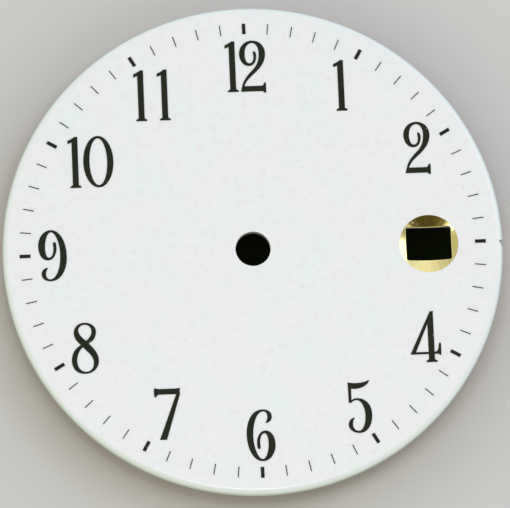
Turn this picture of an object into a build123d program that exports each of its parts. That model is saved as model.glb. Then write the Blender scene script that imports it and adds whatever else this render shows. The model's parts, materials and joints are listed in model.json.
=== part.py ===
from build123d import *
import os
from math import cos, hypot, radians, sin

# Dial of a wristwatch with a date window at 3 o'clock, in millimetres.
# Origin: axis of the centre hole, on the back face that lies on the movement.
# +Z points out of the printed face, +Y to 12 o'clock, +X to 3 o'clock.

# Brass plate
dial_diameter = 28.5
plate_thickness = 0.40
centre_hole_diameter = 2.0

# White lacquer over the face, the rounded shoulder and most of the upright rim.
# The shoulder takes the height that the bare and the coated rim leave.
lacquer_thickness = 0.04
bare_rim_height = 0.06
coated_rim_height = 0.12
lip_share = 0.5

# Locating notch in the rim at 3 o'clock, steep towards 12 and drawn out towards 6
notch_depth = 0.22
notch_steep_side = 0.10
notch_long_side = 0.44

# Printed track: a thick bar at each hour, a thin mark at each minute between
track_inset = 1.28
mark_length = 0.62
hour_bar_width = 0.20
minute_mark_width = 0.05
ink_thickness = 0.02
hours = 12
minutes_per_hour = 5

# Printed numerals, on a ring inside the track
numeral_height = 3.0
numeral_gap = 0.39

# Date window, an upright rectangle in a round conical cut, which is gilded
window_width = 2.60
window_height = 1.95
window_corner_radius = 0.13
window_gap = 0.955
cut_margin = 0.050
cut_offset_to_six = 0.04
metal_under_cut = 0.13
gilding_thickness = 0.02

# Feet on the back, each soldered into a shallow round seat
foot_clock_degrees = (9, 221)
foot_inset = 2.35
foot_diameter = 0.75
foot_length = 2.0
foot_tip_chamfer = 0.08
foot_base_diameter = 1.5
foot_base_thickness = 0.10
foot_seat_depth = 0.05
solder_width = 0.18
solder_below_base = 0.02
solder_hollow_share = 0.30
solder_clearance = 0.07

# One overrun serves every cut
overrun = 1.0

dial_radius = dial_diameter / 2
plate_radius = dial_radius - lacquer_thickness
face_height = plate_thickness + lacquer_thickness
shoulder_radius = plate_thickness - bare_rim_height - coated_rim_height
track_radius = dial_radius - track_inset
track_inner_radius = track_radius - mark_length / 2
numeral_ring_radius = track_inner_radius - numeral_gap - numeral_height / 2
cut_radius = hypot(window_width, window_height) / 2 + cut_margin
cut_depth = plate_thickness - gilding_thickness - metal_under_cut
window_distance = track_inner_radius - window_gap - cut_radius
foot_ring_radius = dial_radius - foot_inset
foot_base_radius = foot_base_diameter / 2
foot_seat_radius = foot_base_radius + solder_width + solder_clearance

# Outlines of the digits, in shares of the numeral height, from the left edge and the base line.
# An outline is its starting point and its steps. A step of one point is a straight edge,
# and a step of three is a curve: two handles, then its end.
one_outline_share = (
    (0.038, 0.000),
    [
        ((0.232, 0.000),),
        ((0.242, 0.004), (0.243, 0.024), (0.236, 0.030)),
        ((0.215, 0.040), (0.195, 0.046), (0.192, 0.062)),
        ((0.192, 1.000),),
        ((0.130, 1.000),),
        ((0.100, 0.968), (0.050, 0.948), (0.002, 0.925)),
        ((0.000, 0.864),),
        ((0.030, 0.868), (0.060, 0.885), (0.078, 0.893)),
        ((0.078, 0.062),),
        ((0.075, 0.046), (0.055, 0.040), (0.034, 0.030)),
        ((0.027, 0.024), (0.028, 0.004), (0.038, 0.000)),
    ],
)

two_outline_share = (
    (0.008, 0.000),
    [
        ((0.415, 0.000),),
        ((0.432, -0.002), (0.442, -0.016), (0.450, -0.032)),
        ((0.488, -0.028),),
        ((0.488, 0.168),),
        ((0.450, 0.168),),
        ((0.443, 0.128), (0.428, 0.107), (0.405, 0.107)),
        ((0.078, 0.107),),
        ((0.095, 0.178), (0.155, 0.245), (0.220, 0.305)),
        ((0.360, 0.420), (0.495, 0.550), (0.495, 0.745)),
        ((0.495, 0.897), (0.387, 1.003), (0.250, 1.003)),
        ((0.103, 1.003), (-0.003, 0.887), (-0.003, 0.745)),
        ((-0.003, 0.613), (0.073, 0.504), (0.180, 0.504)),
        ((0.272, 0.504), (0.325, 0.588), (0.325, 0.705)),
        ((0.325, 0.757), (0.306, 0.792), (0.282, 0.792)),
        ((0.265, 0.792), (0.258, 0.765), (0.263, 0.745)),
        ((0.285, 0.655), (0.262, 0.557), (0.188, 0.557)),
        ((0.132, 0.557), (0.103, 0.640), (0.103, 0.735)),
        ((0.103, 0.870), (0.165, 0.957), (0.245, 0.957)),
        ((0.325, 0.957), (0.373, 0.870), (0.373, 0.745)),
        ((0.373, 0.620), (0.335, 0.530), (0.270, 0.450)),
        ((0.185, 0.365), (0.080, 0.270), (0.040, 0.135)),
        ((0.022, 0.075), (0.012, 0.030), (0.008, 0.000)),
    ],
)

four_outline_share = (
    (0.303, 0.000),
    [
        ((0.497, 0.000),),
        ((0.508, 0.004), (0.508, 0.024), (0.503, 0.030)),
        ((0.485, 0.038), (0.462, 0.045), (0.457, 0.060)),
        ((0.457, 0.156),),
        ((0.525, 0.156),),
        ((0.542, 0.153), (0.548, 0.138), (0.560, 0.131)),
        ((0.575, 0.126), (0.583, 0.143), (0.583, 0.163)),
        ((0.583, 0.345),),
        ((0.583, 0.378), (0.548, 0.378), (0.543, 0.350)),
        ((0.538, 0.257), (0.515, 0.198), (0.457, 0.198)),
        ((0.457, 0.960),),
        ((0.467, 0.985),),
        ((0.399, 0.985),),
        ((0.002, 0.170),),
        ((0.005, 0.154),),
        ((0.343, 0.156),),
        ((0.343, 0.060),),
        ((0.338, 0.045), (0.315, 0.038), (0.297, 0.030)),
        ((0.292, 0.024), (0.292, 0.004), (0.303, 0.000)),
    ],
)

four_counter_share = (
    (0.105, 0.198),
    [
        ((0.343, 0.198),),
        ((0.343, 0.738),),
        ((0.105, 0.198),),
    ],
)

five_outline_share = (
    (0.014, 0.580),
    [
        ((0.062, 0.580),),
        ((0.085, 0.612), (0.120, 0.630), (0.157, 0.630)),
        ((0.262, 0.630), (0.317, 0.470), (0.317, 0.320)),
        ((0.317, 0.176), (0.261, 0.038), (0.183, 0.038)),
        ((0.118, 0.040), (0.074, 0.092), (0.074, 0.160)),
        ((0.074, 0.213), (0.090, 0.262), (0.120, 0.299)),
        ((0.057, 0.294), (-0.006, 0.240), (-0.006, 0.160)),
        ((-0.006, 0.068), (0.083, -0.003), (0.200, -0.003)),
        ((0.352, -0.003), (0.445, 0.150), (0.445, 0.345)),
        ((0.447, 0.528), (0.337, 0.667), (0.163, 0.667)),
        ((0.123, 0.667), (0.092, 0.652), (0.067, 0.630)),
        ((0.067, 0.852),),
        ((0.190, 0.830), (0.360, 0.870), (0.415, 0.995)),
        ((0.410, 1.013),),
        ((0.310, 0.950), (0.110, 0.945), (0.007, 0.977)),
        ((0.014, 0.580),),
    ],
)

seven_outline_share = (
    (0.083, 0.000),
    [
        ((0.217, 0.000),),
        ((0.483, 0.837),),
        ((0.494, 0.870),),
        ((0.489, 0.925),),
        ((0.498, 0.987),),
        ((0.400, 0.978),),
        ((0.085, 0.978),),
        ((0.060, 0.985), (0.040, 0.998), (0.012, 0.995)),
        ((-0.004, 0.940), (-0.002, 0.860), (0.020, 0.813)),
        ((0.036, 0.813),),
        ((0.050, 0.845), (0.070, 0.866), (0.095, 0.870)),
        ((0.420, 0.870),),
        ((0.083, 0.000),),
    ],
)

eight_outline_share = (
    (0.245, 0.000),
    [
        ((0.410, 0.000), (0.510, 0.115), (0.510, 0.255)),
        ((0.510, 0.380), (0.435, 0.470), (0.330, 0.585)),
        ((0.425, 0.630), (0.473, 0.710), (0.473, 0.815)),
        ((0.473, 0.915), (0.375, 0.987), (0.263, 0.987)),
        ((0.140, 0.987), (0.053, 0.905), (0.053, 0.790)),
        ((0.053, 0.690), (0.110, 0.625), (0.180, 0.558)),
        ((0.060, 0.495), (0.000, 0.385), (0.000, 0.255)),
        ((0.000, 0.105), (0.090, 0.000), (0.245, 0.000)),
    ],
)

eight_upper_counter_share = (
    (0.283, 0.636),
    [
        ((0.355, 0.700), (0.387, 0.750), (0.387, 0.815)),
        ((0.387, 0.895), (0.335, 0.947), (0.263, 0.947)),
        ((0.185, 0.947), (0.140, 0.900), (0.140, 0.842)),
        ((0.140, 0.775), (0.190, 0.710), (0.283, 0.636)),
    ],
)

eight_lower_counter_share = (
    (0.217, 0.515),
    [
        ((0.150, 0.465), (0.100, 0.360), (0.100, 0.250)),
        ((0.100, 0.130), (0.165, 0.040), (0.265, 0.040)),
        ((0.365, 0.040), (0.413, 0.115), (0.413, 0.215)),
        ((0.413, 0.340), (0.300, 0.420), (0.217, 0.515)),
    ],
)

nine_outline_share = (
    (0.215, -0.006),
    [
        ((0.415, -0.006), (0.530, 0.213), (0.530, 0.475)),
        ((0.530, 0.767), (0.403, 0.987), (0.243, 0.987)),
        ((0.102, 0.987), (-0.006, 0.847), (-0.006, 0.671)),
        ((-0.006, 0.512), (0.066, 0.401), (0.174, 0.401)),
        ((0.273, 0.401), (0.341, 0.508), (0.341, 0.641)),
        ((0.341, 0.705), (0.333, 0.752), (0.303, 0.754)),
        ((0.285, 0.755), (0.275, 0.739), (0.277, 0.712)),
        ((0.296, 0.561), (0.260, 0.453), (0.191, 0.453)),
        ((0.148, 0.453), (0.123, 0.533), (0.123, 0.651)),
        ((0.123, 0.799), (0.177, 0.945), (0.243, 0.945)),
        ((0.329, 0.945), (0.407, 0.720), (0.407, 0.500)),
        ((0.407, 0.242), (0.318, 0.030), (0.205, 0.030)),
        ((0.157, 0.030), (0.125, 0.074), (0.125, 0.132)),
        ((0.125, 0.181), (0.142, 0.213), (0.169, 0.256)),
        ((0.102, 0.257), (0.043, 0.210), (0.043, 0.134)),
        ((0.043, 0.044), (0.117, -0.006), (0.215, -0.006)),
    ],
)

# The nought is one ellipse inside another: width and height of each
nought_outer_share = (0.574, 1.009)
nought_counter_share = (0.338, 0.917)

# The nine's middle, about which it turns into a six
nine_middle_share = (0.262, 0.4905)

# Centre of each numeral in shares of the numeral ring's radius, then its digits,
# each with its left edge in shares of the numeral height from that centre
numeral_shares = {
    1: ((0.500, 0.876), [("1", -0.118)]),
    2: ((0.893, 0.522), [("2", -0.246)]),
    4: ((0.887, -0.506), [("4", -0.292)]),
    5: ((0.526, -0.872), [("5", -0.222)]),
    6: ((-0.001, -1.004), [("6", -0.262)]),
    7: ((-0.485, -0.873), [("7", -0.247)]),
    8: ((-0.906, -0.505), [("8", -0.255)]),
    9: ((-1.059, 0.002), [("9", -0.262)]),
    10: ((-0.8405, 0.502), [("1", -0.430), ("0", -0.141)]),
    11: ((-0.502, 0.855), [("1", -0.347), ("1", 0.103)]),
    12: ((0.000, 0.998), [("1", -0.382), ("2", -0.107)]),
}

# How a round piece stands on its place or hangs from it
standing = (Align.CENTER, Align.CENTER, Align.MIN)
hanging = (Align.CENTER, Align.CENTER, Align.MAX)


def clock_point(distance, clock_degrees, height):
    """A point at this distance from the centre, at an angle clockwise from 12 o'clock."""
    turn = radians(clock_degrees)
    return Pos(distance * sin(turn), distance * cos(turn), height)


def closed_outline(outline_share):
    """The closed wire of one outline, at its real size."""
    start, steps = outline_share
    corner = Vector(*start) * numeral_height
    edges = []
    for step in steps:
        points = [Vector(*point) * numeral_height for point in step]
        edges.append(Line(corner, *points) if len(points) == 1 else Bezier(corner, *points))
        corner = points[-1]
    return Wire(edges)


def ellipse_wire(size_share):
    """An ellipse of this width and height, from the same left edge and base line."""
    width, height = (share * numeral_height for share in size_share)
    middle_x = nought_outer_share[0] * numeral_height / 2
    middle_y = numeral_height / 2
    ellipse = Ellipse(width / 2, height / 2)
    return (Pos(middle_x, middle_y) * ellipse).wire()


def digit_faces():
    """The printed area of each digit, by its character."""
    nine = Face(closed_outline(nine_outline_share))
    middle_x, middle_y = (share * numeral_height for share in nine_middle_share)
    half_turn = Pos(2 * middle_x, 2 * middle_y) * Rot(0, 0, 180)
    eight_counters = [
        closed_outline(eight_upper_counter_share),
        closed_outline(eight_lower_counter_share),
    ]
    return {
        "0": Face(ellipse_wire(nought_outer_share), [ellipse_wire(nought_counter_share)]),
        "1": Face(closed_outline(one_outline_share)),
        "2": Face(closed_outline(two_outline_share)),
        "4": Face(closed_outline(four_outline_share), [closed_outline(four_counter_share)]),
        "5": Face(closed_outline(five_outline_share)),
        "6": half_turn * nine,
        "7": Face(closed_outline(seven_outline_share)),
        "8": Face(closed_outline(eight_outline_share), eight_counters),
        "9": nine,
    }


def numeral(hour, faces):
    """The ink of one hour numeral, one solid for each digit."""
    (across_share, up_share), digits = numeral_shares[hour]
    left = across_share * numeral_ring_radius
    base = up_share * numeral_ring_radius - numeral_height / 2
    solids = []
    for character, edge_share in digits:
        place = Pos(left + edge_share * numeral_height, base, face_height)
        ink = extrude(faces[character], amount=ink_thickness, dir=(0, 0, 1))
        solids.append(place * ink)
    return solids


def track_mark(width, clock_degrees):
    """One straight mark of the minute track, pointing at the centre."""
    mark = Box(width, mark_length, ink_thickness, align=standing)
    return clock_point(track_radius, clock_degrees, face_height) * Rot(0, 0, -clock_degrees) * mark


def hour_bars():
    """The thick bar at each of the hours."""
    step = 360 / hours
    return [track_mark(hour_bar_width, hour * step) for hour in range(hours)]


def minute_marks():
    """The thin mark at each minute that has no bar."""
    count = hours * minutes_per_hour
    step = 360 / count
    return [
        track_mark(minute_mark_width, minute * step)
        for minute in range(count)
        if minute % minutes_per_hour
    ]


def rounded_disc(radius, bottom, top, edge_radius):
    """A disc whose upper edge is rounded."""
    disc = Pos(0, 0, bottom) * Cylinder(radius, top - bottom, align=standing)
    return fillet(disc.edges().sort_by(Axis.Z)[-1], edge_radius)


def through_cut(outline):
    """A cut of this outline through the whole dial, past both faces."""
    return Pos(0, 0, -overrun) * extrude(outline, amount=face_height + 2 * overrun, dir=(0, 0, 1))


def centre_hole():
    """The cut that the hands' posts pass through."""
    return through_cut(Circle(centre_hole_diameter / 2))


def rim_notch():
    """The cut of the locating notch, from its tip out past the rim."""
    tip = Vector(dial_radius - notch_depth, 0)
    reach = 1 + overrun / notch_depth
    upper = tip + Vector(notch_depth, notch_steep_side) * reach
    lower = tip + Vector(notch_depth, -notch_long_side) * reach
    return through_cut(make_face(Polyline(tip, upper, lower, close=True)))


def date_window():
    """The cut of the date window."""
    opening = RectangleRounded(window_width, window_height, window_corner_radius)
    return through_cut(Pos(window_distance, 0) * opening)


def round_cut():
    """The upright cut through the dial, as wide as the conical one at the plate's face."""
    return through_cut(Pos(window_distance, -cut_offset_to_six) * Circle(cut_radius))


def conical_cut(lowered):
    """The conical cut round the window, from the plate's face or lowered from it."""
    nearest_side = window_height / 2 - cut_offset_to_six
    slope = cut_depth / (cut_radius - nearest_side)
    height = cut_radius * slope + overrun
    cone = Cone(0, height / slope, height, align=standing)
    tip_height = plate_thickness - lowered - cut_radius * slope
    return Pos(window_distance, -cut_offset_to_six, tip_height) * cone


def gilding_seat():
    """The cut in the plate that takes the gilding."""
    return conical_cut(gilding_thickness) & round_cut()


def foot_places():
    """Where the feet stand, on the floors of their seats."""
    return [clock_point(foot_ring_radius, turn, foot_seat_depth) for turn in foot_clock_degrees]


def plate_blank():
    """The brass disc before any cut."""
    return rounded_disc(plate_radius, 0, plate_thickness, shoulder_radius)


def dial_plate():
    """The brass plate with its hole, notch, date window and foot seats."""
    plate = plate_blank() - centre_hole() - rim_notch() - gilding_seat() - date_window()
    seat = Cylinder(foot_seat_radius, foot_seat_depth + overrun, align=hanging)
    for place in foot_places():
        plate -= place * seat
    return plate


def white_lacquer():
    """The coat on the face, over the shoulder and down the rim, with a soft lip at each hole."""
    edge_radius = shoulder_radius + lacquer_thickness
    coat = rounded_disc(dial_radius, bare_rim_height, face_height, edge_radius)
    coat = coat - plate_blank() - centre_hole() - round_cut()
    lips = coat.faces().sort_by(Axis.Z)[-1].inner_wires().edges()
    return fillet(lips, lip_share * lacquer_thickness) - rim_notch()


def window_gilding():
    """The thin gold layer on the conical cut."""
    return gilding_seat() - conical_cut(0) - date_window()


def dial_foot():
    """One foot: a flat base in the seat and a pin that goes into the movement."""
    base = Cylinder(foot_base_radius, foot_base_thickness, align=hanging)
    pin = Cylinder(foot_diameter / 2, foot_length + foot_seat_depth, align=hanging)
    return base + chamfer(pin.edges().sort_by(Axis.Z)[0], foot_tip_chamfer)


def foot_solder():
    """The hollow fillet of solder round the base of one foot."""
    corner = Vector(foot_base_radius, 0, 0)
    inner = corner - Vector(0, 0, foot_base_thickness - solder_below_base)
    outer = corner + Vector(solder_width, 0, 0)
    middle = (inner + outer) / 2
    hollow = middle + (corner - middle) * solder_hollow_share
    section = Wire([Line(inner, corner), Line(corner, outer), ThreePointArc(outer, hollow, inner)])
    return revolve(Face(section), Axis.Z)


def sub_parts():
    """Every sub-part by its node name."""
    parts = {
        "dial_plate": dial_plate(),
        "white_lacquer": white_lacquer(),
        "window_gilding": window_gilding(),
        "hour_bars": Compound(hour_bars()),
        "minute_marks": Compound(minute_marks()),
    }
    for number, place in enumerate(foot_places(), start=1):
        parts[f"dial_foot_{number}"] = place * dial_foot()
        parts[f"foot_solder_{number}"] = place * foot_solder()
    faces = digit_faces()
    for hour in numeral_shares:
        parts[f"numeral_{hour}"] = Compound(numeral(hour, faces))
    return parts


os.makedirs("parts", exist_ok=True)
for node, shape in sub_parts().items():
    export_step(shape, f"parts/{node}.step")
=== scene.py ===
import json
from math import atan2, cos, hypot, pi, radians, sin, sqrt

import bmesh
import bpy
from mathutils import Matrix, Vector, noise as fields


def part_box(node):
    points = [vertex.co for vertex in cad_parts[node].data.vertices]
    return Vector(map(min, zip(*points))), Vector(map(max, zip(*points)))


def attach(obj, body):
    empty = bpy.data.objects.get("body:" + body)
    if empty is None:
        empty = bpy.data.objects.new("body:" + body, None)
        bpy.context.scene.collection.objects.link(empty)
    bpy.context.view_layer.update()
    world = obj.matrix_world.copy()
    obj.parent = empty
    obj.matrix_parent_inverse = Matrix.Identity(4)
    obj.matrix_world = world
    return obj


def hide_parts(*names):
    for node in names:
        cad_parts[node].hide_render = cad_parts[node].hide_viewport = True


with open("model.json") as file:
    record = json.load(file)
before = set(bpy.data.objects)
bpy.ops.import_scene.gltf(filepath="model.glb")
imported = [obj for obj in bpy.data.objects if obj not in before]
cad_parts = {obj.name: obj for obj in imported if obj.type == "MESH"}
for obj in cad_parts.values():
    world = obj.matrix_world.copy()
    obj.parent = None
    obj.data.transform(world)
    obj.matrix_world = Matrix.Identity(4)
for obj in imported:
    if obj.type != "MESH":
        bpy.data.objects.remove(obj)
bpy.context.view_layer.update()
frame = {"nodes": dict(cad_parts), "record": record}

# Lengths below are in metres, written in millimetres times mm
mm = 0.001

# Heights and radii of the dial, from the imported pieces
coat_low, coat_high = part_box("white_lacquer")
plate_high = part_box("dial_plate")[1]
foot_low, foot_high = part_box("dial_foot_1")
dial_radius = -coat_low.y
face_height = coat_high.z
floor_height = foot_low.z

# Way out of the face, along the dial's axis
straight_up = (0.0, 0.0, 1.0)

# Shape of the coat: its shoulder, the lips at its holes and its uneven lower edge
coat_thickness = 0.04 * mm
coat_inner_radius = dial_radius - coat_thickness
coat_shoulder_height = 0.26 * mm
coat_shoulder_width = 0.36 * mm
coat_lip_radius = 0.02 * mm
coat_edge_wander = 0.010 * mm
coat_edge_waves = 45
coat_edge_rise = 0.5
coat_wall_shares = (0.66, 0.33, 0.0)
coat_inner_shares = (0.0, 0.5)

# Shape of the plate: its shoulder, its centre hole and the notch at 3 o'clock
plate_shoulder_radius = 0.22 * mm
centre_hole_radius = 1.0 * mm
notch_depth = 0.22 * mm
notch_steep_side = 0.10 * mm
notch_long_side = 0.44 * mm

# Shape of the gilded cut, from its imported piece, and of the window in it
gilding_low, gilding_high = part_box("window_gilding")
cut_centre = (gilding_low + gilding_high) / 2
cut_radius = (gilding_high.x - gilding_low.x) / 2
cut_depth = 0.25 * mm
gilding_thickness = 0.02 * mm
gilding_least_edge = gilding_thickness / 4
window_offset = 0.04 * mm
window_width = 2.60 * mm
window_height = 1.95 * mm
window_corner_radius = 0.13 * mm
window_edge_radius = 0.032 * mm
window_wall_gilding = 0.008 * mm

# Shape of the feet: a base in its seat, a pin with a rounded root, and a chamfered tip
foot_base_radius = 0.75 * mm
foot_base_bottom = -0.05 * mm
foot_pin_radius = 0.375 * mm
foot_root_radius = 0.06 * mm
foot_tip_chamfer = 0.08 * mm
foot_edge_round = 0.015 * mm
foot_tip_ease = foot_edge_round / 3
foot_pin_shares = (0.35, 0.65)

# Shape of the solder: how hollow its fillet is, and how far and how often its edges and skin wander
solder_hollow_share = 0.62
solder_edge_wander = 0.045 * mm
solder_edge_waves = 1.7
solder_edge_pull = 0.35
solder_rise_wander = 0.022 * mm
solder_rise_waves = 2.3
solder_rise_place = Vector((9.0, 0.0, 0.0))
solder_skin_wander = 0.006 * mm
solder_skin_waves = 6
solder_skin_run = 3
solder_unlike = 5.0

# Angles between two faces from which their edge is sharp
coat_sharp_angle = radians(35)
cut_sharp_angle = radians(50)
foot_sharp_angle = radians(40)

# How close two points of a mesh lie when they are one
same_place = 0.00001 * mm

# How finely round shapes are divided
turn_steps = 720
notch_steps = 12
profile_steps = 14
hole_steps = 240
lip_steps = 5
cut_steps = 16
roll_steps = 6
reach_halvings = 40
foot_steps = 96
foot_round_steps = 4
fillet_steps = 10

# Colours of the lacquer and the ink
lacquer_white = (0.834, 0.834, 0.852, 1.0)
lacquer_cool_white = (0.780, 0.856, 0.847, 1.0)
lacquer_smudge = (0.790, 0.797, 0.800, 1.0)
lacquer_speck = (0.745, 0.752, 0.752, 1.0)
# Painted shade: greyer, cooler colours for the lacquer down its shoulder and on its rim wall
lacquer_slope_shade = (0.745, 0.822, 0.790, 1.0)
lacquer_edge_shade = (0.556, 0.636, 0.603, 1.0)
ink_dark = (0.008, 0.012, 0.005, 1.0)
ink_light = (0.018, 0.022, 0.012, 1.0)
ink_pinhole = (0.30, 0.31, 0.29, 1.0)

# Colours of the metals
gold_deep = (0.900, 0.768, 0.300, 1.0)
gold_light = (0.950, 0.828, 0.352, 1.0)
brass_light = (0.80, 0.60, 0.29, 1.0)
brass_dark = (0.70, 0.49, 0.22, 1.0)
brass_band = (0.62, 0.42, 0.19, 1.0)
brass_score = (0.60, 0.42, 0.20, 1.0)
brass_line = (0.92, 0.75, 0.44, 1.0)
# Painted shade for the walls of the holes and the notch: darkest at their foot, paler higher up
brass_wall_shade_low = (0.027, 0.036, 0.028, 1.0)
brass_wall_shade_high = (0.128, 0.172, 0.150, 1.0)
copper_bright = (0.84, 0.45, 0.28, 1.0)
copper_dull = (0.58, 0.27, 0.15, 1.0)
solder_bright = (0.62, 0.61, 0.58, 1.0)
solder_dull = (0.40, 0.39, 0.36, 1.0)

# Roughness of each surface, from its smoothest to its roughest places
lacquer_roughness = (0.30, 0.38)
ink_roughness = (0.38, 0.52)
gold_roughness = (0.10, 0.18)
brass_roughness = (0.24, 0.40)
copper_roughness = (0.28, 0.46)
solder_roughness = (0.34, 0.55)

# The part of its range from 0 to 1 that noise nearly fills, and the part that shows in the gold
noise_low = 0.3
noise_high = 0.7
gold_tone_low = 0.35
gold_tone_high = 0.65

# How far the rings of the brass show: the part of the coarse rings that scores it, and each kind's share
score_low = 0.2
score_high = 0.9
band_share = 0.22
score_share = 0.38
line_share = 0.40

# How noise is drawn out along the feet to make lines
copper_draw = (1.0, 1.0, 0.05)

# Depths below the face at which painted shade turns the lacquer greyer on the slope and darker at the edge
shade_slope_start = 0.004 * mm
shade_slope_full = 0.035 * mm
shade_edge_full = 0.16 * mm

# Heights over the back from which the brass walls are painted dark as shade, and at which that painted shade
# turns paler
wall_shade_start = 0.005 * mm
wall_shade_full = 0.035 * mm
wall_shade_pale_start = 0.10 * mm
wall_shade_pale_full = 0.38 * mm

# Angles round the cut between which its gilding is scuffed, from 3 o'clock towards 12
scuff_start = 2.00
scuff_full = 2.08
scuff_fade = 2.36
scuff_end = 2.50

# Camera at the photograph's place, over the dial's lower left, from the centre of the face
photo_width = 510
focal_pixels = 5920.1
sensor_width = 36.0
camera_place = Vector((-12.841, -77.346, 327.574)) * mm
camera_right = Vector((0.998684, -0.041900, 0.029589))
camera_up = Vector((0.033989, 0.972583, 0.230059))
camera_back = Vector((-0.038417, -0.228751, 0.972727))
camera_nearest = 10 * mm
camera_farthest = 5000 * mm

# Tent: a pale foot, bright walls and a dimmer roof, at heights from 0 to 1 for straight up
tent_foot_level = 0.66
tent_foot_top = 0.04
tent_wall_foot = 0.14
tent_wall_level = 1.55
tent_wall_top = 0.55
tent_roof_edge = 0.68
tent_roof_level = 0.57

# Colours of the tent, from warm to cool along one way
tent_warm_colour = (1.0, 0.967, 0.80, 1.0)
tent_cool_colour = (0.975, 1.0, 1.16, 1.0)
tent_cool_way = (0.5, 0.6, 0.0)
tent_cool_start = -0.4
tent_cool_full = 0.5

# Dark gap in the tent's roof over 6 o'clock
gap_level = 0.071
gap_colour = (1.0, 0.80, 0.33, 1.0)
gap_way = (-0.08, 1.0, 0.0)
gap_start = 0.02
gap_full = -0.36
gap_low = 0.72
gap_high = 0.80

# Lamps, all at one distance: direction from the dial, width, share of the face's light, colour
lamp_distance = 900 * mm
lamps = {
    "side_from_three": (Vector((0.585, 0.32, 0.745)), 420 * mm, 0.074, (0.98, 1.0, 1.06)),
    "overhead": (Vector((0.02, 0.02, 1.0)), 100 * mm, 0.060, (1.0, 1.0, 1.0)),
    "glint_from_nine": (Vector((-0.445, -0.16, 0.88)), 150 * mm, 0.026, (0.97, 1.0, 1.09)),
    "glint_from_four": (Vector((0.51, -0.17, 0.84)), 60 * mm, 0.0011, (1.0, 0.98, 0.92)),
}

# Backdrop below the tent, dimmer towards straight down
backdrop_colour = (1.0, 1.0, 0.985, 1.0)
backdrop_low_level = 0.40
backdrop_depth = -0.95
backdrop_start = -0.06

# Floor: its pale colour, its colour for bounced light, the painted shadow that darkens it under the dial, and
# the darker painted shadow below the dial's openings
floor_width = 1500 * mm
floor_colour = (0.62, 0.62, 0.61, 1.0)
floor_cloud_share = 0.97
floor_cloud_scale = 60
floor_bounce_colour = (0.10, 0.095, 0.085, 1.0)
# Painted shadow: a dark disc on the floor under the dial, and darker spots below the hole and the window
floor_shadow_colour = (0.07, 0.068, 0.062, 1.0)
floor_shadow_reach = 11.0 * mm
floor_shadow_edge = 4.0 * mm
floor_hole_shadow_colour = (0.0042, 0.0080, 0.0016, 1.0)
floor_hole_shadow_reach = 1.5 * mm
floor_hole_shadow_edge = 1.6 * mm
floor_hole_shadow_shift = 0.35 * mm

# A count of bounces or passes is over this from the first one on
before_first = 0.5


def new_material(name):
    """A fresh node material, with its node tree and its surface shader."""
    material = bpy.data.materials.new(name)
    material.use_nodes = True
    tree = material.node_tree
    surface = tree.nodes["Principled BSDF"]
    return material, tree, surface


def add_node(tree, kind, **settings):
    """A node of this kind with these settings."""
    node = tree.nodes.new(kind)
    for key, value in settings.items():
        setattr(node, key, value)
    return node


def object_place(tree):
    """The place on the piece, in metres, in the dial's own frame."""
    return add_node(tree, "ShaderNodeTexCoord").outputs["Object"]


def toward(tree, direction, way):
    """How far a direction or a place lies along a given way."""
    node = add_node(tree, "ShaderNodeVectorMath", operation="DOT_PRODUCT")
    tree.links.new(direction, node.inputs[0])
    node.inputs[1].default_value = way
    return node.outputs["Value"]


def ranged(tree, value, from_low, from_high, to_low=0.0, to_high=1.0):
    """The value carried from one range to another, and held at its ends."""
    node = add_node(tree, "ShaderNodeMapRange")
    ends = {"From Min": from_low, "From Max": from_high, "To Min": to_low, "To Max": to_high}
    for name, number in ends.items():
        node.inputs[name].default_value = number
    tree.links.new(value, node.inputs["Value"])
    return node.outputs["Result"]


def math_node(tree, operation, first, second):
    """One sum of two values, each a number or another node's output."""
    node = add_node(tree, "ShaderNodeMath", operation=operation)
    for socket, value in zip(node.inputs, (first, second)):
        if isinstance(value, (int, float)):
            socket.default_value = value
        else:
            tree.links.new(value, socket)
    return node.outputs["Value"]


def mixed(tree, factor, first, second):
    """Two colours mixed by a factor; each is a colour or another node's output."""
    node = add_node(tree, "ShaderNodeMix", data_type="RGBA")
    tree.links.new(factor, node.inputs["Factor"])
    colour_inputs = [socket for socket in node.inputs if socket.type == "RGBA"]
    for socket, value in zip(colour_inputs, (first, second)):
        if isinstance(value, tuple):
            socket.default_value = value
        else:
            tree.links.new(value, socket)
    return next(socket for socket in node.outputs if socket.type == "RGBA")


def noise(tree, place, scale, detail=2.0, roughness=0.5):
    """Soft noise over the piece, with this many blots to a metre."""
    node = add_node(tree, "ShaderNodeTexNoise")
    node.inputs["Scale"].default_value = scale
    node.inputs["Detail"].default_value = detail
    node.inputs["Roughness"].default_value = roughness
    tree.links.new(place, node.inputs["Vector"])
    return node.outputs["Fac"]


def patches(tree, place, scale, start, full, detail=2.0, roughness=0.5):
    """Patches of noise: 0 where it is below start, rising to 1 where it is above full."""
    return ranged(tree, noise(tree, place, scale, detail, roughness), start, full)


def spots(tree, place, scale, inner, outer):
    """Round spots: 1 near a spot's middle, falling to 0 between these distances from it."""
    cells = add_node(tree, "ShaderNodeTexVoronoi")
    cells.inputs["Scale"].default_value = scale
    tree.links.new(place, cells.inputs["Vector"])
    return ranged(tree, cells.outputs["Distance"], inner, outer, 1.0, 0.0)


def rings(tree, place, scale, distortion):
    """Rings about the dial's axis, as a turning tool leaves them."""
    node = add_node(tree, "ShaderNodeTexWave", wave_type="RINGS", rings_direction="Z")
    node.inputs["Scale"].default_value = scale
    node.inputs["Distortion"].default_value = distortion
    node.inputs["Detail"].default_value = 3.0
    node.inputs["Detail Scale"].default_value = 3.0
    tree.links.new(place, node.inputs["Vector"])
    return node.outputs["Fac"]


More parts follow.
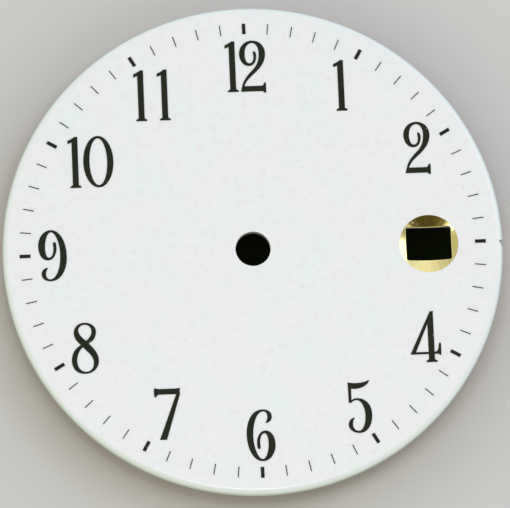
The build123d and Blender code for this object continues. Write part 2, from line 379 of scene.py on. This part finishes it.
def bump(tree, height, distance, strength, under=None):
    """A normal raised by this height field, over another normal if one is given."""
    node = add_node(tree, "ShaderNodeBump")
    node.inputs["Strength"].default_value = strength
    node.inputs["Distance"].default_value = distance
    tree.links.new(height, node.inputs["Height"])
    if under is not None:
        tree.links.new(under, node.inputs["Normal"])
    return node.outputs["Normal"]


def fill_surface(tree, surface, colour, gloss, normal, metallic=0.0):
    """Feeds the surface's colour, roughness and normal, and sets how metallic it is."""
    tree.links.new(colour, surface.inputs["Base Color"])
    tree.links.new(gloss, surface.inputs["Roughness"])
    tree.links.new(normal, surface.inputs["Normal"])
    surface.inputs["Metallic"].default_value = metallic


def lacquer_material():
    """Satin white lacquer: a cool mottle, grey specks and orange peel, with painted shade that makes it
    greyer and cooler down the shoulder and rim.
    """
    material, tree, surface = new_material("satin_white_lacquer")
    place = object_place(tree)
    mottle = patches(tree, place, scale=420, start=0.42, full=0.66, detail=5.0, roughness=0.62)
    body = mixed(tree, mottle, lacquer_white, lacquer_cool_white)
    smudges = patches(tree, place, scale=2300, start=0.50, full=0.74, detail=3.0)
    smudged = mixed(tree, smudges, body, lacquer_smudge)
    blots = patches(tree, place, scale=1700, start=0.46, full=0.56)
    specks = math_node(tree, "MULTIPLY", spots(tree, place, scale=1500, inner=0.06, outer=0.17), blots)
    speckled = mixed(tree, specks, smudged, lacquer_speck)
    height = toward(tree, place, straight_up)
    # Painted shade: the lacquer turns greyer down the slope, and darker at the edge and on the rim wall
    slope = ranged(tree, height, face_height - shade_slope_full, face_height - shade_slope_start, 1.0, 0.0)
    slope_shaded = mixed(tree, slope, speckled, lacquer_slope_shade)
    edge = ranged(tree, height, face_height - shade_edge_full, face_height - shade_slope_full, 1.0, 0.0)
    colour = mixed(tree, edge, slope_shaded, lacquer_edge_shade)
    gloss = ranged(tree, noise(tree, place, scale=900), noise_low, noise_high, *lacquer_roughness)
    peel = bump(tree, noise(tree, place, scale=5200), distance=0.004 * mm, strength=0.35)
    fill_surface(tree, surface, colour, gloss, peel)
    surface.inputs["Coat Weight"].default_value = 0.45
    surface.inputs["Coat Roughness"].default_value = 0.14
    return material


def ink_material():
    """Raised printed ink, dark green-black, with a fine grain and a few pale pinholes."""
    material, tree, surface = new_material("printed_ink")
    place = object_place(tree)
    grain = patches(tree, place, scale=7000, start=0.35, full=0.70, detail=3.0)
    body = mixed(tree, grain, ink_dark, ink_light)
    pinholes = spots(tree, place, scale=1900, inner=0.035, outer=0.060)
    colour = mixed(tree, pinholes, body, ink_pinhole)
    gloss = ranged(tree, grain, 0.0, 1.0, *ink_roughness)
    grained = bump(tree, grain, distance=0.003 * mm, strength=0.4)
    fill_surface(tree, surface, colour, gloss, grained)
    surface.inputs["Specular IOR Level"].default_value = 0.14
    return material


def turn_round_cut(tree, place):
    """The angle round the cut's centre, from 3 o'clock towards 12."""
    low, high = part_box("window_gilding")
    middle = (low + high) / 2
    centred = add_node(tree, "ShaderNodeVectorMath", operation="SUBTRACT")
    tree.links.new(place, centred.inputs[0])
    centred.inputs[1].default_value = (middle.x, middle.y, 0.0)
    parts = add_node(tree, "ShaderNodeSeparateXYZ")
    tree.links.new(centred.outputs["Vector"], parts.inputs["Vector"])
    return math_node(tree, "ARCTAN2", parts.outputs["Y"], parts.outputs["X"])


def gold_material():
    """Polished gold on the cut, with fine streaks down the slope and scuffs on its upper left."""
    material, tree, surface = new_material("polished_gold")
    place = object_place(tree)
    turn = turn_round_cut(tree, place)
    round_place = add_node(tree, "ShaderNodeCombineXYZ")
    tree.links.new(turn, round_place.inputs["X"])
    streaks = noise(tree, round_place.outputs["Vector"], scale=11.0, detail=4.0, roughness=0.6)
    colour = mixed(tree, ranged(tree, streaks, gold_tone_low, gold_tone_high), gold_deep, gold_light)
    gloss = ranged(tree, streaks, noise_low, noise_high, *gold_roughness)
    swell = noise(tree, round_place.outputs["Vector"], scale=3.5)
    waves = bump(tree, swell, distance=0.012 * mm, strength=0.5)
    scuffed_after = ranged(tree, turn, scuff_start, scuff_full)
    scuffed_before = ranged(tree, turn, scuff_fade, scuff_end, 1.0, 0.0)
    scuffed = math_node(tree, "MULTIPLY", scuffed_after, scuffed_before)
    dents = math_node(tree, "MULTIPLY", spots(tree, place, scale=4200, inner=0.10, outer=0.34), scuffed)
    dented = bump(tree, dents, distance=0.014 * mm, strength=0.8, under=waves)
    streaked = bump(tree, streaks, distance=0.003 * mm, strength=0.5, under=dented)
    fill_surface(tree, surface, colour, gloss, streaked, metallic=1.0)
    return material


def brass_material():
    """Bare brass with a fine circular grain; the walls of the holes and the notch are painted dark as shade,
    darkest at their foot.
    """
    material, tree, surface = new_material("turned_brass")
    place = object_place(tree)
    broad = rings(tree, place, scale=230, distortion=2.0)
    coarse = rings(tree, place, scale=900, distortion=1.4)
    fine = rings(tree, place, scale=3400, distortion=2.2)
    cloud = patches(tree, place, scale=260, start=0.35, full=0.70, detail=4.0)
    body = mixed(tree, cloud, brass_light, brass_dark)
    banded = mixed(tree, ranged(tree, broad, 0.0, 1.0, 0.0, band_share), body, brass_band)
    scored = mixed(tree, ranged(tree, coarse, score_low, score_high, 0.0, score_share), banded, brass_score)
    lined = mixed(tree, ranged(tree, fine, 0.0, 1.0, 0.0, line_share), scored, brass_line)
    # Painted shade: the walls are darkened, most of all at their foot
    height = toward(tree, place, straight_up)
    shaded_wall = ranged(tree, height, wall_shade_start, wall_shade_full)
    shade_paler = ranged(tree, height, wall_shade_pale_start, wall_shade_pale_full)
    wall_shade = mixed(tree, shade_paler, brass_wall_shade_low, brass_wall_shade_high)
    colour = mixed(tree, shaded_wall, lined, wall_shade)
    gloss = ranged(tree, cloud, 0.0, 1.0, *brass_roughness)
    turned = bump(tree, coarse, distance=0.012 * mm, strength=0.6)
    polished = bump(tree, fine, distance=0.004 * mm, strength=0.5, under=turned)
    fill_surface(tree, surface, colour, gloss, polished, metallic=1.0)
    return material


def copper_material():
    """Drawn copper wire, dulled in patches and lined along its length."""
    material, tree, surface = new_material("drawn_copper")
    place = object_place(tree)
    dulled = patches(tree, place, scale=1500, start=0.35, full=0.70, detail=4.0)
    colour = mixed(tree, dulled, copper_bright, copper_dull)
    gloss = ranged(tree, dulled, 0.0, 1.0, *copper_roughness)
    drawn_out = add_node(tree, "ShaderNodeVectorMath", operation="MULTIPLY")
    tree.links.new(place, drawn_out.inputs[0])
    drawn_out.inputs[1].default_value = copper_draw
    lines = noise(tree, drawn_out.outputs["Vector"], scale=12000, detail=3.0)
    lined = bump(tree, lines, distance=0.006 * mm, strength=0.6)
    fill_surface(tree, surface, colour, gloss, lined, metallic=1.0)
    return material


def solder_material():
    """Dull tin solder with a crystalline mottle."""
    material, tree, surface = new_material("tin_solder")
    place = object_place(tree)
    crystals = patches(tree, place, scale=3800, start=0.35, full=0.70, detail=4.0)
    colour = mixed(tree, crystals, solder_bright, solder_dull)
    gloss = ranged(tree, crystals, 0.0, 1.0, *solder_roughness)
    mottled = bump(tree, crystals, distance=0.008 * mm, strength=0.5)
    fill_surface(tree, surface, colour, gloss, mottled, metallic=1.0)
    return material


def dress_cad_nodes():
    """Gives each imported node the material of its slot, and returns the materials by slot."""
    by_slot = {
        "white_lacquer": lacquer_material(),
        "dial_ink": ink_material(),
        "window_gold": gold_material(),
        "plate_brass": brass_material(),
        "foot_copper": copper_material(),
        "solder": solder_material(),
    }
    for row in frame["record"]["subparts"]:
        node = frame["nodes"][row["node"]]
        for place in node.material_slots:
            place.material = by_slot[row["material_slot"]]
    return by_slot


def ring_turns(steps):
    """The angles of even steps round a circle."""
    return [2 * pi * step / steps for step in range(steps)]


def quarter_turns(steps):
    """The angles of even steps through a quarter of a circle, with both its ends."""
    return [pi / 2 * step / steps for step in range(steps + 1)]


def round_point(radius, turn, height, centre=(0.0, 0.0)):
    """A point at this radius, angle and height."""
    return (centre[0] + radius * cos(turn), centre[1] + radius * sin(turn), height)


def middle_of(low, high):
    """The middle of a box, seen from above."""
    return ((low.x + high.x) / 2, (low.y + high.y) / 2)


def loop_verts(mesh, points):
    """New vertices at these points, one closed loop."""
    return [mesh.verts.new(point) for point in points]


def loop_edges(mesh, loop):
    """The edges round a loop."""
    count = len(loop)
    return [mesh.edges.get((loop[step], loop[(step + 1) % count])) for step in range(count)]


def join_loops(mesh, first, second):
    """The band of faces between two loops with as many vertices."""
    count = len(first)
    for step in range(count):
        after = (step + 1) % count
        mesh.faces.new((first[step], first[after], second[after], second[step]))


def join_in_turn(mesh, loops):
    """The bands of faces between each loop and the next."""
    for first, second in zip(loops, loops[1:]):
        join_loops(mesh, first, second)


def join_columns(mesh, columns):
    """The closed skin over columns of points that stand side by side round a ring."""
    loops = [loop_verts(mesh, row) for row in zip(*columns)]
    join_in_turn(mesh, loops)
    join_loops(mesh, loops[-1], loops[0])


def finished_piece(mesh, name, material, sharp_angle):
    """The piece made of this mesh, smooth but for its sharp edges."""
    bmesh.ops.recalc_face_normals(mesh, faces=mesh.faces)
    data = bpy.data.meshes.new(name)
    mesh.to_mesh(data)
    mesh.free()
    data.shade_smooth()
    data.set_sharp_from_angle(angle=sharp_angle)
    data.materials.append(material)
    piece = bpy.data.objects.new(name, data)
    bpy.context.scene.collection.objects.link(piece)
    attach(piece, "root")
    return piece


def coat_turns():
    """The angles of the coat's radial lines, closer together at the notch."""
    notch_start = -atan2(notch_long_side, dial_radius)
    notch_end = atan2(notch_steep_side, dial_radius)
    turns = [turn if turn <= pi else turn - 2 * pi for turn in ring_turns(turn_steps)]
    turns = [turn for turn in turns if not notch_start <= turn <= notch_end]
    turns += [notch_start * step / notch_steps for step in range(1, notch_steps + 1)]
    turns += [notch_end * step / notch_steps for step in range(notch_steps + 1)]
    return sorted(turns)


def rim_reach(turn, radius):
    """How far a piece with this rim radius reaches at an angle: less inside the notch."""
    side = notch_steep_side if turn >= 0 else notch_long_side
    tip = dial_radius - notch_depth
    slope = abs(sin(turn) / cos(turn))
    # Share of the notch's straight side, from its tip, at which a line at this angle meets it
    along = tip * slope / (side - notch_depth * slope) if side > notch_depth * slope else 1.0
    if cos(turn) <= 0 or along >= 1.0:
        return radius
    return min(radius, hypot(tip + notch_depth * along, side * along))


def coat_height(radius):
    """The height of the coat's outer surface on the face and the shoulder."""
    start = dial_radius - coat_shoulder_width
    share = min(max((radius - start) / coat_shoulder_width, 0.0), 1.0)
    return face_height - coat_shoulder_height * (1 - sqrt(1 - share * share))


def plate_top_height(radius):
    """The height of the plate's upper surface, under the coat."""
    start = plate_high.x - plate_shoulder_radius
    share = min(max((radius - start) / plate_shoulder_radius, 0.0), 1.0)
    return plate_high.z - plate_shoulder_radius * (1 - sqrt(1 - share * share))


def shoulder_loop(mesh, turns, start, rim, share, height_at):
    """A loop on a shoulder: where it starts for share 0, at the rim for share 1."""
    radii = [start + (rim_reach(turn, rim) - start) * share for turn in turns]
    points = [round_point(radius, turn, height_at(radius)) for radius, turn in zip(radii, turns)]
    return loop_verts(mesh, points)


def wall_loop(mesh, turns, radius, share):
    """A loop on the coat's wall, from its uneven lower edge up; in the notch it ends on the plate."""
    points = []
    for turn in turns:
        reach = rim_reach(turn, radius)
        outer_reach = rim_reach(turn, dial_radius)
        edge_noise = fields.noise(Vector((cos(turn), sin(turn), 0.0)) * coat_edge_waves)
        bottom = coat_low.z + coat_edge_wander * (coat_edge_rise + edge_noise)
        if outer_reach <= coat_inner_radius:
            bottom = plate_top_height(outer_reach)
        top = coat_height(outer_reach) if radius > coat_inner_radius else plate_top_height(reach)
        points.append(round_point(reach, turn, bottom + (top - bottom) * share))
    return loop_verts(mesh, points)


def coat_rim(mesh):
    """The coat from the face round the rim to its underside; returns its top and bottom loops."""
    turns = coat_turns()
    start = dial_radius - coat_shoulder_width
    under_start = coat_inner_radius - plate_shoulder_radius
    top = [round_point(start - coat_lip_radius, turn, face_height) for turn in turns]
    under = [round_point(under_start - coat_lip_radius, turn, plate_high.z) for turn in turns]
    top_loop = loop_verts(mesh, top)
    under_top_loop = loop_verts(mesh, under)
    shares = [sin(turn) for turn in quarter_turns(profile_steps)]
    skin = [top_loop]
    skin += [shoulder_loop(mesh, turns, start, dial_radius, share, coat_height) for share in shares]
    skin += [wall_loop(mesh, turns, dial_radius, share) for share in coat_wall_shares]
    skin += [wall_loop(mesh, turns, coat_inner_radius, share) for share in coat_inner_shares]
    for share in reversed(shares):
        skin.append(shoulder_loop(mesh, turns, under_start, coat_inner_radius, share, plate_top_height))
    skin.append(under_top_loop)
    join_in_turn(mesh, skin)
    return top_loop, under_top_loop


def coat_hole(mesh, radius, centre):
    """The wall of one hole in the coat with its soft lip; returns its top and bottom loops."""
    ladder = [(radius + 2 * coat_lip_radius, face_height)]
    ladder += [
        (radius + coat_lip_radius * (1 - sin(turn)), face_height - coat_lip_radius * (1 - cos(turn)))
        for turn in quarter_turns(lip_steps)
    ]
    ladder += [(radius, plate_high.z), (radius + 2 * coat_lip_radius, plate_high.z)]
    loops = []
    for reach, height in ladder:
        points = [round_point(reach, turn, height, centre) for turn in ring_turns(hole_steps)]
        loops.append(loop_verts(mesh, points))
    join_in_turn(mesh, loops)
    return loops[0], loops[-1]


def white_coat(material):
    """The lacquer: flat face, rounded shoulder, upright rim and soft lips at the holes."""
    mesh = bmesh.new()
    borders = [
        coat_rim(mesh),
        coat_hole(mesh, centre_hole_radius, (0.0, 0.0)),
        coat_hole(mesh, cut_radius, (cut_centre.x, cut_centre.y)),
    ]
    for side in zip(*borders):
        edges = [edge for loop in side for edge in loop_edges(mesh, loop)]
        bmesh.ops.triangle_fill(mesh, edges=edges, use_beauty=True)
    bmesh.ops.remove_doubles(mesh, verts=mesh.verts, dist=same_place)
    coat = finished_piece(mesh, "lacquer_coat", material, coat_sharp_angle)
    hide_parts("white_lacquer")


def window_reach(turn, outside):
    """How far a line this far outside the window's edge is from the cut's centre at an angle."""
    half_width = window_width / 2 + outside
    half_height = window_height / 2 + outside
    corner = window_corner_radius + outside
    low, high = 0.0, cut_radius
    for _ in range(reach_halvings):
        middle = (low + high) / 2
        x = abs(middle * cos(turn))
        y = abs(middle * sin(turn) - window_offset)
        over_x = max(x - (half_width - corner), 0.0)
        over_y = max(y - (half_height - corner), 0.0)
        inside = x <= half_width and y <= half_height and hypot(over_x, over_y) <= corner
        low, high = (middle, high) if inside else (low, middle)
    return low


def gilding_column(turn, slope):
    """Points at one angle: down the cut, over the window's edge, and back under the gilding."""
    centre = (cut_centre.x, cut_centre.y)
    lean = atan2(slope, 1.0)

    def cone_height(radius):
        return plate_high.z - (cut_radius - radius) * slope

    edge = window_reach(turn, -window_wall_gilding)
    rolled = window_reach(turn, window_edge_radius * (1 - sin(lean)) - window_wall_gilding)
    rolled = min(rolled, cut_radius - window_edge_radius)
    radii = [cut_radius + (rolled - cut_radius) * step / cut_steps for step in range(cut_steps + 1)]
    column = [round_point(radius, turn, cone_height(radius), centre) for radius in radii]
    for step in range(1, roll_steps + 1):
        bend = lean + (pi / 2 - lean) * step / roll_steps
        share = (sin(bend) - sin(lean)) / (1 - sin(lean))
        drop = window_edge_radius * (cos(lean) - cos(bend))
        column.append(round_point(rolled + (edge - rolled) * share, turn, cone_height(rolled) - drop, centre))
    lowest = column[-1][2] - gilding_least_edge
    foot = min(cone_height(edge) - gilding_thickness / cos(lean), lowest)
    column.append(round_point(edge, turn, foot, centre))
    column.append(round_point(cut_radius, turn, plate_high.z - gilding_thickness, centre))
    return column


def gilded_cut(material):
    """The gold on the conical cut, rolled over the window's edge."""
    mesh = bmesh.new()
    nearest = window_height / 2 - window_offset
    slope = cut_depth / (cut_radius - nearest)
    join_columns(mesh, [gilding_column(turn, slope) for turn in ring_turns(hole_steps)])
    gold = finished_piece(mesh, "gilded_cut", material, cut_sharp_angle)
    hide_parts("window_gilding")


def foot_profile():
    """Radii and heights down one foot: its base, the root of its pin, and the tip."""
    base, pin = foot_base_radius, foot_pin_radius
    seat, tip = foot_base_bottom, foot_low.z
    profile = [(base, foot_high.z)]
    profile += [
        (base - foot_edge_round * (1 - cos(turn)), seat + foot_edge_round * (1 - sin(turn)))
        for turn in quarter_turns(foot_round_steps)
    ]
    profile += [
        (pin + foot_root_radius * (1 - sin(turn)), seat - foot_root_radius * (1 - cos(turn)))
        for turn in quarter_turns(foot_round_steps)
    ]
    profile += [(pin, seat + (tip - seat) * share) for share in foot_pin_shares]
    profile += [
        (pin, tip + foot_tip_chamfer + foot_edge_round),
        (pin - foot_tip_ease, tip + foot_tip_chamfer),
        (pin - foot_tip_chamfer, tip + foot_tip_ease),
        (pin - foot_tip_chamfer - foot_edge_round, tip),
    ]
    return profile


def copper_foot(number, material):
    """One foot, turned from its profile, with the pin's root and the edges rounded."""
    node = f"dial_foot_{number}"
    low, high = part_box(node)
    centre = middle_of(low, high)
    mesh = bmesh.new()
    loops = []
    for radius, height in foot_profile():
        points = [round_point(radius, turn, height, centre) for turn in ring_turns(foot_steps)]
        loops.append(loop_verts(mesh, points))
    join_in_turn(mesh, loops)
    mesh.faces.new(loops[0])
    mesh.faces.new(loops[-1])
    foot = finished_piece(mesh, f"copper_foot_{number}", material, foot_sharp_angle)
    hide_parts(node)


def fillet_column(turn, number, low, high):
    """Points at one angle: across the fillet's hollow skin, and the corner behind it."""
    centre = middle_of(low, high)
    way = Vector((cos(turn), sin(turn), solder_unlike * number))
    outer_radius = (high.x - low.x) / 2
    outer = outer_radius + solder_edge_wander * (fields.noise(way * solder_edge_waves) - solder_edge_pull)
    rise = fields.noise(way * solder_rise_waves + solder_rise_place)
    start = Vector((foot_base_radius, low.z + solder_rise_wander * rise))
    end = Vector((outer, high.z))
    middle = (start + end) / 2
    bend = middle + (Vector((foot_base_radius, high.z)) - middle) * solder_hollow_share
    column = []
    for step in range(fillet_steps + 1):
        share = step / fillet_steps
        point = start * (1 - share) ** 2 + bend * 2 * share * (1 - share) + end * share ** 2
        skin = fields.noise(way * solder_skin_waves + Vector((share * solder_skin_run, 0, 0)))
        lump = solder_skin_wander * 4 * share * (1 - share) * skin
        column.append(round_point(point.x + lump, turn, point.y - lump, centre))
    column.append(round_point(foot_base_radius, turn, high.z, centre))
    return column


def solder_fillet(number, material):
    """The solder round one foot's base: a hollow fillet with a wandering edge and a lumpy skin."""
    node = f"foot_solder_{number}"
    low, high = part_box(node)
    mesh = bmesh.new()
    join_columns(mesh, [fillet_column(turn, number, low, high) for turn in ring_turns(foot_steps)])
    solder = finished_piece(mesh, f"solder_fillet_{number}", material, foot_sharp_angle)
    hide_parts(node)


def past_spot(tree, place, middle, reach, edge):
    """0 within this reach of a spot's middle, rising to 1 over its soft edge."""
    distance = add_node(tree, "ShaderNodeVectorMath", operation="DISTANCE")
    tree.links.new(place, distance.inputs[0])
    distance.inputs[1].default_value = middle
    return ranged(tree, distance.outputs["Value"], reach, reach + edge)


def floor_paint(tree):
    """The floor's colour: pale, with a painted shadow under the dial that is darkest below its hole and its
    window.
    """
    place = object_place(tree)
    cloud = noise(tree, place, floor_cloud_scale, detail=3.0)
    clouded = tuple(channel * floor_cloud_share for channel in floor_colour[:3]) + (1.0,)
    pale = mixed(tree, cloud, floor_colour, clouded)
    # Painted shadow under the dial, and darker painted shadow below its hole and its window
    below_hole = (0.0, floor_hole_shadow_shift, 0.0)
    below_window = (cut_centre.x, cut_centre.y + floor_hole_shadow_shift, 0.0)
    past_dial_shadow = past_spot(tree, place, (0.0, 0.0, 0.0), floor_shadow_reach, floor_shadow_edge)
    past_hole_shadow = past_spot(tree, place, below_hole, floor_hole_shadow_reach, floor_hole_shadow_edge)
    past_window_shadow = past_spot(tree, place, below_window, floor_hole_shadow_reach, floor_hole_shadow_edge)
    past_both_shadows = math_node(tree, "MINIMUM", past_hole_shadow, past_window_shadow)
    shaded = mixed(tree, past_dial_shadow, floor_shadow_colour, pale)
    return mixed(tree, past_both_shadows, floor_hole_shadow_colour, shaded)


def floor_material():
    """The floor's paint, which is clear from below and to metal above it, so that the back shows."""
    material, tree, surface = new_material("pale_floor")
    rays = add_node(tree, "ShaderNodeLightPath")
    bounced = math_node(tree, "GREATER_THAN", rays.outputs["Diffuse Depth"], before_first)
    colour = mixed(tree, bounced, floor_paint(tree), floor_bounce_colour)
    tree.links.new(colour, surface.inputs["Base Color"])
    surface.inputs["Roughness"].default_value = 0.9
    surface.inputs["Specular IOR Level"].default_value = 0.04
    from_below = add_node(tree, "ShaderNodeNewGeometry").outputs["Backfacing"]
    passed = math_node(tree, "MAXIMUM", from_below, rays.outputs["Is Glossy Ray"])
    clear = add_node(tree, "ShaderNodeBsdfTransparent")
    choice = add_node(tree, "ShaderNodeMixShader")
    tree.links.new(passed, choice.inputs["Fac"])
    tree.links.new(surface.outputs["BSDF"], choice.inputs[1])
    tree.links.new(clear.outputs["BSDF"], choice.inputs[2])
    tree.links.new(choice.outputs["Shader"], tree.nodes["Material Output"].inputs["Surface"])
    return material


def pale_floor():
    """The floor under the feet, pale but for its painted shadow under the dial."""
    half = floor_width / 2
    corners = [(-half, -half, 0), (half, -half, 0), (half, half, 0), (-half, half, 0)]
    mesh = bpy.data.meshes.new("floor")
    mesh.from_pydata(corners, [], [(0, 1, 2, 3)])
    mesh.materials.append(floor_material())
    floor = bpy.data.objects.new("floor", mesh)
    floor.location.z = floor_height
    bpy.context.scene.collection.objects.link(floor)


def studio_lamps():
    """The lamps, each turned towards the dial and as strong as its share of the face's light."""
    for name, (direction, width, share, colour) in lamps.items():
        direction = direction.normalized()
        light = bpy.data.lights.new(name, "AREA")
        light.shape = "DISK"
        light.size = width
        light.energy = share * (pi * lamp_distance) ** 2 / direction.z
        light.color = colour
        lamp = bpy.data.objects.new(name, light)
        lamp.location = direction * lamp_distance
        lamp.rotation_mode = "QUATERNION"
        lamp.rotation_quaternion = direction.to_track_quat("Z", "Y")
        lamp.visible_camera = False
        bpy.context.scene.collection.objects.link(lamp)


def tent_light(tree, direction, rise):
    """The light of the tent: its foot, walls and roof, warm to cool, with the dark gap in the roof."""
    upper = ranged(tree, rise, tent_wall_top, tent_roof_edge, 1.0, tent_roof_level / tent_wall_level)
    lower = ranged(tree, rise, tent_foot_top, tent_wall_foot, tent_foot_level, tent_wall_level)
    tent = math_node(tree, "MULTIPLY", lower, upper)
    cool = ranged(tree, toward(tree, direction, tent_cool_way), tent_cool_start, tent_cool_full)
    cloth = mixed(tree, cool, tent_warm_colour, tent_cool_colour)
    back = ranged(tree, toward(tree, direction, gap_way), gap_full, gap_start, 1.0, 0.0)
    gap = math_node(tree, "MULTIPLY", back, ranged(tree, rise, gap_low, gap_high))
    shade = ranged(tree, gap, 0.0, 1.0, 1.0, gap_level / tent_roof_level)
    foot = ranged(tree, rise, tent_foot_top, tent_wall_foot)
    colour = mixed(tree, foot, backdrop_colour, mixed(tree, gap, cloth, gap_colour))
    light = add_node(tree, "ShaderNodeBackground")
    tree.links.new(colour, light.inputs["Color"])
    tree.links.new(math_node(tree, "MULTIPLY", tent, shade), light.inputs["Strength"])
    return light


def backdrop_light(tree, rise):
    """The plain pale backdrop."""
    light = add_node(tree, "ShaderNodeBackground")
    light.inputs["Color"].default_value = backdrop_colour
    dim = ranged(tree, rise, backdrop_depth, backdrop_start, backdrop_low_level, tent_foot_level)
    tree.links.new(dim, light.inputs["Strength"])
    return light


def studio_sky():
    """The tent round the dial, and the backdrop for every ray that has passed the clear floor."""
    world = bpy.data.worlds.new("studio")
    world.use_nodes = True
    tree = world.node_tree
    tree.nodes.clear()
    direction = add_node(tree, "ShaderNodeTexCoord").outputs["Generated"]
    rise = toward(tree, direction, straight_up)
    tent = tent_light(tree, direction, rise)
    backdrop = backdrop_light(tree, rise)
    rays = add_node(tree, "ShaderNodeLightPath")
    passed = math_node(tree, "GREATER_THAN", rays.outputs["Transparent Depth"], before_first)
    choice = add_node(tree, "ShaderNodeMixShader")
    tree.links.new(passed, choice.inputs["Fac"])
    tree.links.new(tent.outputs["Background"], choice.inputs[1])
    tree.links.new(backdrop.outputs["Background"], choice.inputs[2])
    output = add_node(tree, "ShaderNodeOutputWorld")
    tree.links.new(choice.outputs["Shader"], output.inputs["Surface"])
    bpy.context.scene.world = world


def photo_camera():
    """The camera at the photograph's viewing angle."""
    data = bpy.data.cameras.new("photo_camera")
    data.sensor_width = sensor_width
    data.lens = focal_pixels / photo_width * sensor_width
    data.clip_start = camera_nearest
    data.clip_end = camera_farthest
    camera = bpy.data.objects.new("photo_camera", data)
    place = camera_place + Vector((0, 0, face_height))
    turn = Matrix((camera_right, camera_up, camera_back)).transposed()
    camera.matrix_world = Matrix.Translation(place) @ turn.to_4x4()
    bpy.context.scene.collection.objects.link(camera)
    bpy.context.scene.camera = camera


finishes = dress_cad_nodes()
white_coat(finishes["white_lacquer"])
gilded_cut(finishes["window_gold"])
for foot_number in (1, 2):
    copper_foot(foot_number, finishes["foot_copper"])
    solder_fillet(foot_number, finishes["solder"])
pale_floor()
studio_lamps()
studio_sky()
photo_camera()
bpy.context.scene.view_settings.view_transform = "Standard"
